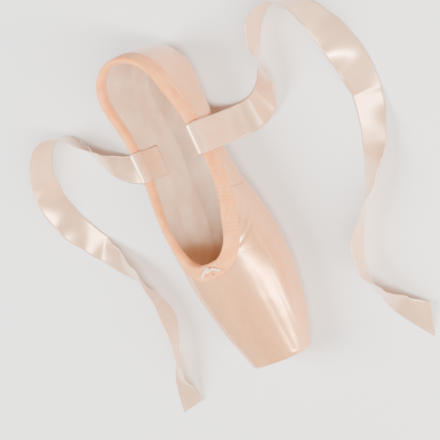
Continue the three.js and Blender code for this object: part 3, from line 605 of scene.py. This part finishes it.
class Section:
    """The last's outline across the shoe at one place, or turned about the heel's upright axis."""

    def __init__(self, back, turn=0.0):
        self.half, self.crown, widest, self.under, self.over = last_at(back)
        self.widest = widest * PLATFORM_HEIGHT
        self.turn = turn
        self.back = back + HEEL_RADIUS * sin(turn)
        self.run = back + HEEL_RADIUS * turn
        self.base = BASE_HEIGHT + spring_at(back)
        self.x = FRONT - back
        if turn > 0:
            self.half = 1 / hypot(cos(turn) / self.half, sin(turn) / HEEL_RADIUS)

    def point(self, angle, grow=0.0, side=1):
        """A point of the outline. Its angle is 0 at the widest line and negative below it."""
        power = 2 / (self.under if angle < 0 else self.over)
        reach = 0 if abs(angle) > QUARTER_TURN - 1e-9 else cos(angle) ** power
        climb = copysign(abs(sin(angle)) ** power, angle)
        tall = self.widest if angle < 0 else self.crown - self.widest
        out = (self.half + grow) * reach
        height = self.base + self.widest + (tall + grow) * climb
        return Vector((self.x - out * sin(self.turn), side * out * cos(self.turn), height))

    def edge_angle(self):
        """Where the collar's raw edge crosses; straight up in front of the throat."""
        if self.back <= VAMP_LENGTH + 1e-6:
            return QUARTER_TURN
        height = collar_height_at(self.back)[0] - self.base - self.widest
        return asin(min(1, height / (self.crown - self.widest)) ** (self.over / 2))

    def even_angles(self, start, hidden, count):
        """Angles at even distances round the outline, after a few that cross the part under the sole."""
        steps = 72
        edge = self.edge_angle()
        fine = [between(-QUARTER_TURN, edge, k / steps) for k in range(steps + 1)]
        gone = runs_along([self.point(angle) for angle in fine])
        wanted = [start * k / hidden for k in range(hidden)]
        wanted += [between(start, gone[-1], k / count) for k in range(count + 1)]
        found = []
        for distance in wanted:
            i, share = stretch_at(gone, distance)
            found.append((min(edge, between(fine[i], fine[i + 1], share)), distance))
        return found


def rounding(radius, distance):
    """How much a rounded edge takes off at a distance from its end."""
    short = max(0, radius - distance)
    return radius - sqrt(radius**2 - short**2)


def trough_depth(creases, run, round_girth):
    """How deep the creases lie at a place, with a low ridge along both sides."""
    total = 0
    for run_a, girth_a, run_b, girth_b, width, depth in creases:
        dx, dy = run_b - run_a, girth_b - girth_a
        px, py = run - run_a, round_girth - girth_a
        t = min(1, max(0, (px * dx + py * dy) / (dx * dx + dy * dy)))
        q = ((px - t * dx) ** 2 + (py - t * dy) ** 2) / (width * width)
        if q < 7:
            total += depth * (1 - 0.8 * t * t) * (1 - 0.85 * q) * exp(-q)
    return total


def pleat_relief(x, y, past_sole):
    """The folds under the toe, which fan out from the sole's tip. Each rises slowly and drops sharply."""
    turn = degrees(atan2(y, x - PLEAT_FAN_X)) + 1.3 * sin(x * 0.21 + y * 0.1)
    phase = (turn / PLEAT_DEGREES + 0.3) % 1
    fold = phase / 0.72 if phase < 0.72 else (1 - phase) / 0.28
    strong = smooth(64, 40, abs(turn)) + 0.45 * smooth(115, 75, abs(turn)) * smooth(14, 2, past_sole)
    seen = smooth(-1, 3, past_sole) * smooth(26, 15, past_sole)
    return (fold - 0.35) * PLEAT_HEIGHT * min(1, strong) * seen


def satin_relief(section, side, angle, below_edge, past_sole):
    """How far the satin stands off the last's own form at one place."""
    run = section.run
    place = section.point(angle, 0, side)
    relief = -trough_depth(SOLE_CREASES, run, side * past_sole) * smooth(-5, -2, past_sole)
    relief -= trough_depth(EDGE_CREASES, run, side * below_edge)
    if angle < 0 and place.x > 60:
        relief += pleat_relief(place.x, place.y, past_sole)
        relief -= trough_depth(TOE_CREASES, place.x, place.y) * smooth(-0.1, -0.4, angle)
    if past_sole > -4:
        waver = noise.noise(Vector((place.x / 4.6, place.y / 9, place.z / 24)))
        relief += 0.3 * waver * smooth(11, 1, past_sole) * smooth(-4, -2, past_sole) * smooth(20, 40, run)
    if run > VAMP_LENGTH + 6:
        pucker = noise.noise(Vector((side * (HEEL_RUN - run) / 2.6, 5.0, below_edge / 40)))
        pucker *= 0.32 * between(0.55, 1, smooth(150, 215, run)) * smooth(84, 96, run)
        relief += pucker * smooth(7, 10, below_edge) * smooth(26, 10, below_edge)
    relief += 0.16 * noise.noise(place / 17)
    relief += 0.07 * noise.noise(place / 6.5)
    return relief


def along_upper():
    """Stations along one side, closer together at the platform, the pleats and behind the throat."""
    backs = [0, 0.12, 0.3, 0.55, 0.9, 1.4, 2.0, 2.7]
    backs += [between(2.7, 30, k / 36) for k in range(1, 37)]
    backs += [between(30, VAMP_LENGTH, k / 38) for k in range(1, 39)]
    for share in (k / 104 for k in range(1, 105)):
        backs.append(between(VAMP_LENGTH, HEEL_BACK, 0.12 * share + 0.88 * share**1.25))
    return [(back, 0.0) for back in backs] + [(HEEL_BACK, k / 36 * QUARTER_TURN) for k in range(1, 37)]


HIDDEN_ROWS = 5
SEEN_ROWS = 104
LINING_ROWS = 40
CAP_SHARES = [0, 0.14, 0.28, 0.42, 0.56, 0.68, 0.8, 0.9, 0.97, 0.999]
sole_tip = sole_half_at(SOLE_TOE_END)[0]


def satin_column(back, turn, side):
    """The satin from under the sole to the collar's edge or the vamp's middle, marked for painted shade and
    dirt near the outsole.
    """
    section = Section(back, turn)
    sole_girth = sole_half_at(section.back)[0] if section.back > SOLE_TOE_END else 0
    if turn:
        sole_girth = between(15.5, 17, sin(turn))
    rows = section.even_angles(max(1, sole_girth - 7), HIDDEN_ROWS, SEEN_ROWS)
    total = rows[-1][1]
    for angle, up in rows:
        past_sole = up - sole_girth
        if section.back <= SOLE_TOE_END:
            past_sole = hypot(SOLE_TOE_END - back, max(0, up - sole_tip))
        relief = satin_relief(section, side, angle, total - up, past_sole) * smooth(0, 3, back)
        # Painted shade, with some dirt: the satin darkens just above the outsole's edge and in the deep
        # folds under the toe.
        near = smooth(2.6, 0.5, past_sole) * smooth(-3, 0, past_sole)
        if angle < -0.3 and section.x > 75:
            under = section.point(angle, 0, side)
            near = max(near, 0.8 * smooth(0.35, 0.95, trough_depth(TOE_CREASES, under.x, under.y)))
        place = section.point(angle, relief - rounding(PLATFORM_EDGE_RADIUS, back), side)
        yield place, (section.run, side * (total - up)), near


def lining_column(back, turn, side):
    section = Section(back + PLATFORM_WALL * (1 - smooth(0, VAMP_LENGTH, back)), turn)
    edge = section.edge_angle()
    for k in range(LINING_ROWS + 1):
        angle = between(-QUARTER_TURN, edge, k / LINING_ROWS)
        place = section.point(angle, 0, side)
        soft = 0.12 * noise.noise(place / 9) + 0.1 * noise.noise(place / 24)
        yield section.point(angle, soft - wall_at(back), side), (section.run, 2 * k), 0


def platform_cap(rim):
    """Columns that close a flat end, from its middle out to its rim."""
    top = rim[-1][0]
    middle = Vector((top.x, 0, (rim[0][0].z + top.z) / 2))
    for share in CAP_SHARES:
        places = [middle + (place - middle) * share for place, _, _ in rim]
        yield [(place, (place.z - top.z, place.y), 0) for place in places]


def skin_round(column_of, stations, mark=None):
    """A skin of the whole shoe, from the toe round the heel to the toe again. One that keeps a mark gets a
    flat end at the platform."""
    columns = []
    for side in (1, -1):
        half = [[*column_of(back, turn, side)] for back, turn in stations]
        if mark:
            half = [*platform_cap(half[0]), *half]
        columns += half[::side]
    return skin_through(columns, 0.004, mark)


def seam_line(start, at, width):
    """1 on a seam that crosses the cloth at so many millimetres along it, 0 away from it."""
    run, _ = cloth_axes(start)
    waver = cloth_noise(start, 90, 90, 2.0)
    return abs(run + waver * (1.6 * MM) - (at + 0.8) * MM).fade(width * MM, 0)


def upper_satin_paint():
    """Satin with its side and heel seams, and painted shade with some dirt in the folds beside the outsole.
    """
    colours = (0.88, 0.42, 0.19), (0.82, 0.35, 0.14), (0.95, 0.60, 0.36)
    paint, start, sockets, shade, bump = satin_paint("upper_satin", *colours, 2300, 0.06)
    seams = seam_line(start, SIDE_SEAM_RUN, 0.55) + seam_line(start, HEEL_RUN, 0.45)
    # The mark paints shade, with some dirt, beside the outsole and in the toe's folds; the seams are darker
    # joints.
    sole_shade_and_dirt = start.node("Attribute", {"attribute_name": "sole_shade_and_dirt"}, None, 2)
    seams_shade_and_dirt = start.maths("MAXIMUM", seams * 0.5, sole_shade_and_dirt * 0.75)
    groove = seams.relief(0.8, 0.35, bump, sunk=True)
    feed(sockets, Base_Color=seams_shade_and_dirt.mixed(shade, (0.40, 0.2, 0.11)), Normal=groove)
    return paint


def cotton_paint(name, base, deep, weave_height):
    """Plain-woven cotton: fine crossed threads, matt, with faint shading."""
    paint, start, sockets = new_paint(name, Specular_IOR_Level=0.25, Sheen_Weight=0.15, Sheen_Roughness=0.6)
    warp, weft = (axis.wave(0.55) for axis in cloth_axes(start))
    broad = cloth_noise(start, 60, 60, 4.0)
    fuzz = cloth_noise(start, 1400, 1400, 2.0)
    bump = (warp * weft * 0.4 + fuzz * 0.8 + 0.5).relief(0.6, weave_height)
    shade = broad.fade(0.35, 0.7).mixed(deep, base)
    feed(sockets, Base_Color=shade, Normal=bump, Roughness=0.78 + fuzz * 0.14)
    return paint


lining_cotton = cotton_paint("lining_cotton", (0.80, 0.59, 0.42), (0.70, 0.47, 0.31), 0.09)
stations_round = along_upper()
shell = skin_round(satin_column, stations_round, "sole_shade_and_dirt")
lining = skin_round(lining_column, stations_round, "sole_shade_and_dirt")
for face in lining.faces:
    face.material_index = 1
carrier = bpy.data.meshes.new("lining")
lining.to_mesh(carrier)
lining.free()
shell.from_mesh(carrier)
bpy.data.meshes.remove(carrier)
rims = [edge for edge in shell.edges if edge.is_boundary]
for face in bmesh.ops.bridge_loops(shell, edges=rims)["faces"]:
    face.material_index = 1
bmesh.ops.recalc_face_normals(shell, faces=shell.faces)
new_piece("upper_shell", shell, [upper_satin_paint(), lining_cotton], "satin", "upper")

# Insole: a thin board glued over the turned-in satin and the shank, covered with plain cotton. It fills the
# bottom of the shoe from box to heel, a little dished where heel and ball press, with a rounded rim.
INSOLE_THICKNESS = 2.2
INSOLE_CLEARANCE = 0.3
INSOLE_ROUNDING = 0.9
INSOLE_TOE_BACK = 27
INSOLE_ROWS = 26


def insole_column(back, turn, side):
    """From the middle of its underside over the rounded rim and back to the middle on top."""
    section = Section(back, turn)
    grow = -wall_at(back) - INSOLE_CLEARANCE
    level = spring_at(back) + BASE_HEIGHT - grow + INSOLE_THICKNESS
    climb = (level - section.base - section.widest) / (section.widest + grow)
    out = (section.half + grow) * (1 - abs(climb) ** section.under) ** (1 / section.under)
    flat = out - INSOLE_ROUNDING
    rim = [(0, -1.9), (0.5 * out, -1.9), (0.8 * out, -1.6), (0.93 * out, -1.1)]
    for turned in (1.5, 1.1, 0.7, 0.35, 0):
        rim.append((flat + INSOLE_ROUNDING * sin(turned), INSOLE_ROUNDING * (cos(turned) - 1)))
    top = [(flat * (1 - k / INSOLE_ROWS), 0) for k in range(1, INSOLE_ROWS + 1)]
    for k, (reach, drop) in enumerate(rim + top):
        share = reach / out
        if k >= len(rim):
            pressed = smooth(196, 214, section.run) + smooth(40, 62, back) * smooth(104, 84, back)
            uneven = noise.noise(Vector((section.run / 14, side * share * 2, 4)))
            drop -= 0.5 * (1 - share**2) * pressed - 0.1 * uneven * (1 - share)
        x = section.x - reach * sin(section.turn)
        yield Vector((x, side * reach * cos(section.turn), level + drop)), (section.run, side * reach)


def sealed(shape):
    """The shape with its open ends filled and all its faces turned outwards."""
    bmesh.ops.holes_fill(shape, edges=[edge for edge in shape.edges if edge.is_boundary], sides=0)
    bmesh.ops.recalc_face_normals(shape, faces=shape.faces)
    return shape


insole_stations = [(between(INSOLE_TOE_BACK, HEEL_BACK, k / 110), 0.0) for k in range(111)]
insole_stations += [(HEEL_BACK, k / 30 * QUARTER_TURN) for k in range(1, 31)]
insole_cotton = cotton_paint("insole_cotton", (0.75, 0.58, 0.43), (0.64, 0.45, 0.31), 0.1)
insole_shape = sealed(skin_round(insole_column, insole_stations))
new_piece("insole_cover", insole_shape, [insole_cotton], "lining", "insole")

# Outsole: one piece of buffed leather with a skived, dyed edge, cemented over the turned-under satin. Its
# underside is roughened, and scored with crossing cuts under the ball for grip.
SOLE_STEPS = 200
SOLE_CORNER = 3.2
SOLE_BEDDING = 0.12
SKIVE = 0.95
SCORE_PITCH = 3.4
UNDERSIDE_SHARES = (0, 0.15, 0.3, 0.42, 0.54, 0.64, 0.73, 0.81, 0.88)


def section_over(place):
    """The last's section over a place, and how far out from its upright the place lies."""
    behind = place.x < HEEL_X
    out = hypot(place.x - HEEL_X, place.y) if behind else abs(place.y)
    turn = atan2(HEEL_X - place.x, abs(place.y)) if behind else 0
    return Section(HEEL_BACK if behind else FRONT - place.x, turn), out


def underside_at(x, y):
    """Height of the last's underside over a point of the floor."""
    section, out = section_over(Vector((x, y)))
    reach = min(1, out / section.half)
    return section.base + section.widest * (1 - (1 - reach**section.under) ** (1 / section.under))


def sole_ring(back):
    """The outsole's outline across the shoe: underside, rounded edge and top, of both sides."""
    from_end = min(back - SOLE_TOE_END, SOLE_HEEL_END - back)
    half = sole_half_at(back)[0] - rounding(SOLE_CORNER, from_end)
    floor_gap = spring_at(back) + rounding(SKIVE, from_end)
    x = FRONT - back

    def top(y):
        return underside_at(x, y) - SOLE_BEDDING

    def below(y):
        eased = smooth(0.45, 0.96, y / half)
        return floor_gap + max(0, top(y) - SOLE_THICKNESS - floor_gap) * eased

    ring = [(share * half, below(share * half)) for share in UNDERSIDE_SHARES]
    ring.append((half - SKIVE, below(half - SKIVE)))
    ring += [(half - short, below(half) + up) for short, up in ((0.55, 0.14), (0.2, 0.42), (0.02, 0.85))]
    ring += [(half, top(half) - 0.7), (half - 0.06, top(half) - 0.25)]
    ring += [(share * half - 0.2, top(share * half)) for share in (1, 0.9, 0.75, 0.5)] + [(0, top(0))]
    return [Vector((x, y, z)) for y, z in ring] + [Vector((x, -y, z)) for y, z in ring[::-1]]


def sole_shape():
    """The leather's skin, its rings crowded towards both ends and drawn to points."""
    rings = []
    for k in range(SOLE_STEPS + 1):
        share = k / SOLE_STEPS
        crowded = 0.2 * share + 0.4 * (1 - cos(pi * share))
        rings.append(sole_ring(between(SOLE_TOE_END, SOLE_HEEL_END, crowded)))
    tips = []
    for ring, ahead in ((rings[0], 0.25), (rings[-1], -0.25)):
        middle = sum(ring, Vector()) / len(ring)
        tips.append([between(middle, place, 0.001) + Vector((ahead, 0, 0)) for place in ring])
    columns = []
    for ring in (tips[0], *rings, tips[1]):
        column = []
        for j, place in enumerate(ring):
            if min(j, len(ring) - 1 - j) < len(UNDERSIDE_SHARES):
                buffed = 0.06 * noise.noise(place / 4) + 0.05 * noise.noise(place / 11)
                place.z = max(0, place.z + buffed)
            back = FRONT - place.x
            column.append((place, (back, place.y), abs(place.y) / sole_half_at(back)[0]))
        columns.append(column)
    return sealed(skin_through(columns, 0.03, "rim_share"))


def sole_paint():
    """Buffed leather: nap in streaks, crossing cuts under the ball with painted shade in them, a darker dyed
    edge and a few marks.
    """
    fixed = {"Specular_IOR_Level": 0.3, "Sheen_Weight": 0.2, "Sheen_Roughness": 0.5}
    paint, start, sockets = new_paint("sole_leather", **fixed)
    run, across = cloth_axes(start)
    cuts = []
    for turned in (run + across, run - across):
        line = start.maths("PINGPONG", turned, SCORE_PITCH * sqrt(0.5) * MM)
        cuts.append(line.fade(0.55 * MM, 0.12 * MM))
    crossing = start.maths("MAXIMUM", *cuts)
    rear = (run - abs(across) * 0.9).fade(97.5 * MM, 96 * MM)
    rim_share = start.node("Attribute", {"attribute_name": "rim_share"}, None, 2)
    scored = crossing * run.fade(25 * MM, 26 * MM) * rear * rim_share.fade(0.9, 0.86)
    nap = cloth_noise(start, 900, 420, 4.0)
    blotch = cloth_noise(start, 55, 30, 3.0)
    marks = cloth_noise(start, 90, 420, 2.0)
    upright = start.node("SeparateXYZ", None, {"Vector": start.node("NewGeometry", None, None, 1)}, 2)
    side_on = abs(upright).fade(0.75, 0.35)
    shade = blotch.fade(0.35, 0.68).mixed((0.52, 0.34, 0.25), (0.62, 0.43, 0.33))
    shade = (marks.fade(0.6, 0.74) * 0.3).mixed(shade, (0.46, 0.29, 0.20))
    # Painted shade darkens the crossing cuts.
    shade = (scored * 0.6).mixed(shade, (0.29, 0.165, 0.11))
    shade = (side_on * 0.85).mixed(shade, (0.2, 0.115, 0.075))
    bump = (nap * 0.7 + blotch * 0.3 - scored * 2.2).relief(0.7, 0.16)
    feed(sockets, Base_Color=shade, Normal=bump, Roughness=0.72 + nap * 0.2 - side_on * 0.22)
    return paint


outsole = new_piece("outsole_leather", sole_shape(), [sole_paint()], "sole_leather", "outsole")
outsole.data.set_sharp_from_angle(angle=radians(50))

# Drawstring casing: a bias-cut tape folded over the collar's raw edge, gathered a little by the cord inside
# it, and sewn down through the satin with one row of small stitches near its lower edge.
CASING_WIDTH = 9
COLLAR_STEPS = 620
CASING_BULGE = 0.9
TAPE_INNER = 2 / 3
TAPE_LEVEL = 0.96
TAPE_RIB = 0.6
STITCH_PITCH = 2.3
STITCH_ROW = 0.8 * CASING_WIDTH
CORD_HOLE_AHEAD = 5.6
CORD_HOLE_RADIUS = 0.9
# Across the tape, from its lower edge outside over the fold to the one inside: share of the width down from
# the raw edge, face (0 is outside, 1 inside), height off it, and shares of the cord's bulge and the gathers
TAPE_ROWS = [
    (1, 0, -1.1, 0, 0), (1, 0, -0.25, 0, 0.2), (0.97, 0, 0, 0, 0.4), (0.88, 0, -0.02, 0, 0.6),
    (0.8, 0, -0.16, 0, 0.5), (0.71, 0, 0.04, 0, 1), (0.6, 0, 0.14, 0, 1), (0.5, 0, 0.32, 0, 1),
    (0.4, 0, 0, 0.6, 1), (0.28, 0, 0, 0.85, 1), (0.16, 0, 0, 1, 1), (0.05, 0, 0, 0.96, 1),
    (-0.05, 0, 0, 0.7, 1), (-0.13, 0, 0, 0.25, 1), (-0.19, 0, -0.5, 0, 0.8), (-0.22, 0.5, 0, 0, 0.6),
    (-0.19, 1, 0.5, 0, 0.6), (-0.12, 1, 0, -0.25, 0.6), (0.02, 1, 0, -0.65, 0.7),
    (0.16, 1, 0, -0.68, 0.7), (0.28, 1, 0, -0.5, 0.7), (0.42, 1, -0.2, 0, 0.6),
    (0.55, 1, -0.03, 0, 0.4), (0.97 * TAPE_INNER, 1, 0, 0, 0.2), (TAPE_INNER, 1, 0.3, 0, 0),
    (TAPE_INNER, 1, 1, 0, 0), (0.3, 0.5, 0, 0, 0),
]


def on_form(place, grow):
    """The last's point at a place's station and angle, off its surface by so much."""
    section, out = section_over(place)
    height = place.z - section.base - section.widest
    power = (section.under if height < 0 else section.over) / 2
    tall = section.widest if height < 0 else section.crown - section.widest
    climb = (abs(height) / tall) ** power
    reach = (out / section.half) ** power
    return section.point(copysign(atan2(climb, reach), height), grow, -1 if place.y < 0 else 1)


def collar_loop():
    """Places along the raw edge, each with the way down, the wall and the run there; the whole length."""
    half = [Section(back, turn) for back, turn in stations_round if back >= VAMP_LENGTH - 1e-6]
    fine = [section.point(section.edge_angle()) for section in half]
    loop = fine + [Vector((p.x, -p.y, p.z)) for p in fine[-2::-1]]
    gone = runs_along(loop)
    even = []
    for k in range(COLLAR_STEPS):
        run = gone[-1] * k / COLLAR_STEPS
        i, share = stretch_at(gone, run)
        even.append((between(loop[i], loop[i + 1], share), run))
    found = []
    for k, (place, run) in enumerate(even):
        along = (even[(k + 1) % COLLAR_STEPS][0] - even[k - 1][0]).normalized()
        out = (on_form(place, 1) - on_form(place, 0)).normalized()
        found.append((place, along.cross(out).normalized(), wall_at(FRONT - place.x), run))
    return found, gone[-1]


def gather_at(run, down):
    """The little puckers the cord draws in the tape."""
    turn = noise.noise(Vector((run / 7, 3.0, down / 14))) * 2.6 + run * 2 * pi / 2.9
    strong = 0.6 + 0.8 * noise.noise(Vector((run / 12, 8.0, 0)))
    return 0.17 * strong * sin(turn) + 0.12 * noise.noise(Vector((run / 2.2, down / 5, 1)))


def casing_columns(loop, total):
    """The folded tape's corners at each place along the collar."""
    for i in range(len(loop) + 1):
        place, away, wall, run = loop[i % len(loop)]
        column = []
        width = 0
        for share, face, off, bulge, gathered in [*TAPE_ROWS, TAPE_ROWS[0]]:
            down = share * CASING_WIDTH
            grow = between(TAPE_LEVEL, -wall - TAPE_LEVEL, face) + off + bulge * CASING_BULGE
            grow += gathered * gather_at(run, down) * (1 if face < 0.5 else -1)
            corner = on_form(place + away * down, grow)
            if column:
                width += (corner - column[-1][0]).length
            column.append((corner, (run if i < len(loop) else total, width)))
        yield column


def casing_stitches(loop, total):
    shape = bmesh.new()
    count = round(total / STITCH_PITCH)
    for k in range(count):
        ends = []
        for at in (k, k + 0.62):
            i, share = divmod(at * len(loop) / count, 1)
            place, away, _, _ = loop[int(i) % len(loop)]
            place = between(place, loop[(int(i) + 1) % len(loop)][0], share)
            ends.append(on_form(place + away * STITCH_ROW, TAPE_LEVEL - 0.12))
        out = (on_form(ends[0], 2) - on_form(ends[0], 1)).normalized()
        stitch(shape, *ends, out * 0.1)
    return shape


def casing_paint():
    """Fine ribbed bias tape, with the worked hole for the drawstring; the hole is painted shade, not cut."""
    fixed = {"Specular_IOR_Level": 0.4, "Sheen_Weight": 0.3, "Sheen_Roughness": 0.4}
    paint, start, sockets = new_paint("casing_tape", **fixed)
    run, across = cloth_axes(start)
    rib = (run + across).wave(TAPE_RIB) * 0.5 + 0.5
    broad = cloth_noise(start, 160, 90, 3.0)
    fuzz = cloth_noise(start, 1500, 900, 2.0)
    opening = on_form(Vector((FRONT - VAMP_LENGTH + CORD_HOLE_AHEAD, 0.6, THROAT_HEIGHT)), 1.4) * MM
    place = start.node("TexCoord", None, None, 3)
    off_hole = start.node("VectorMath", {"operation": "DISTANCE"}, {0: place, 1: opening}, 1)
    radius = CORD_HOLE_RADIUS * MM
    hole = off_hole.fade(radius, radius * 0.6)
    worked = off_hole.fade(radius * 1.9, radius * 1.5) - hole
    shade = broad.fade(0.3, 0.7).mixed((0.83, 0.27, 0.06), (0.95, 0.37, 0.10))
    shade = (worked * 0.45).mixed(shade, (0.62, 0.17, 0.05))
    # The hole is not cut: its near-black colour is painted shade.
    shade = hole.mixed(shade, (0.16, 0.03, 0.015))
    bump = (rib * 0.5 + fuzz * 0.8 + worked * 1.5 - hole * 3.0).relief(0.7, 0.07)
    feed(sockets, Base_Color=shade, Normal=bump, Roughness=0.5 + fuzz * 0.2)
    return paint


collar = collar_loop()
tape = sealed(skin_through([*casing_columns(*collar)], 0.003))
new_piece("casing_tape", tape, [casing_paint()], "casing", "collar_casing")
sewing = thread_paint("casing_thread", (0.86, 0.60, 0.42), (0.68, 0.42, 0.27))
new_piece("casing_stitching", casing_stitches(*collar), [sewing], "casing", "collar_casing")

# Drawstring: one thin braided cord that runs round inside the casing and comes out at its front, where its
# two short ends are knotted together and lie over the casing and on to the vamp.
CORD_DIAMETER = 1.9
CORD_FACES = 14
CORD_BRAID = 5.2
KNOT_CORD_RADIUS = 0.8
KNOT_STEPS = 24
KNOT_X = FRONT - VAMP_LENGTH + 1.5
KNOT_Z = THROAT_HEIGHT + 3.7


def swept_cord(points, steps, radius, taper):
    """A round braided cord along a smooth curve. Taper thins it towards its far end."""
    rows = [*curve_through(points, steps)]
    gone = runs_along([place for place, _, _ in rows])
    across = Vector((0.1, 0.2, 1.0))
    columns = []
    for (place, along, _), run in zip(rows, gone):
        across = (across - along * across.dot(along)).normalized()
        other = along.cross(across)
        thin = radius * (1 - taper * smooth(0.8, 1, len(columns) / steps))
        column = []
        for j in range(CORD_FACES + 1):
            turn = 2 * pi * j / CORD_FACES
            braid = 1 + 0.07 * sin(4 * turn + run * CORD_BRAID) * sin(4 * turn - run * CORD_BRAID)
            spoke = across * cos(turn) + other * sin(turn)
            column.append((place + spoke * thin * braid, (run, turn * radius)))
        columns.append(column)
    return sealed(skin_through(columns, 0.002))


def knot_points():
    """A trefoil, closed on itself."""
    for k in range(KNOT_STEPS + 1):
        t = 2 * pi * k / KNOT_STEPS
        x = KNOT_X + 0.48 * (cos(t) - 2 * cos(2 * t))
        y = 0.76 * (sin(t) + 2 * sin(2 * t))
        yield Vector((x, y, KNOT_Z - 0.62 * sin(3 * t)))


def cord_end_points(side):
    for share in (0, 0.35, 0.7, 1):
        place = Vector((KNOT_X + share * 3.5, side * (3.3 + share * 5.6), THROAT_HEIGHT))
        yield on_form(place, 0) + Vector((0, 0, 3.05 - 0.35 * share))


cord_paint = thread_paint("drawstring_braid", (0.93, 0.68, 0.49), (0.78, 0.46, 0.29))
knot = swept_cord(knot_points(), 120, KNOT_CORD_RADIUS, 0)
new_piece("drawstring_knot_cord", knot, [cord_paint], "drawstring", "drawstring_knot")
for name, side in (("left", 1), ("right", -1)):
    end = swept_cord(cord_end_points(side), 40, CORD_DIAMETER / 2, 0.35)
    new_piece("drawstring_end_cord_" + name, end, [cord_paint], "drawstring", "drawstring_end_" + name)
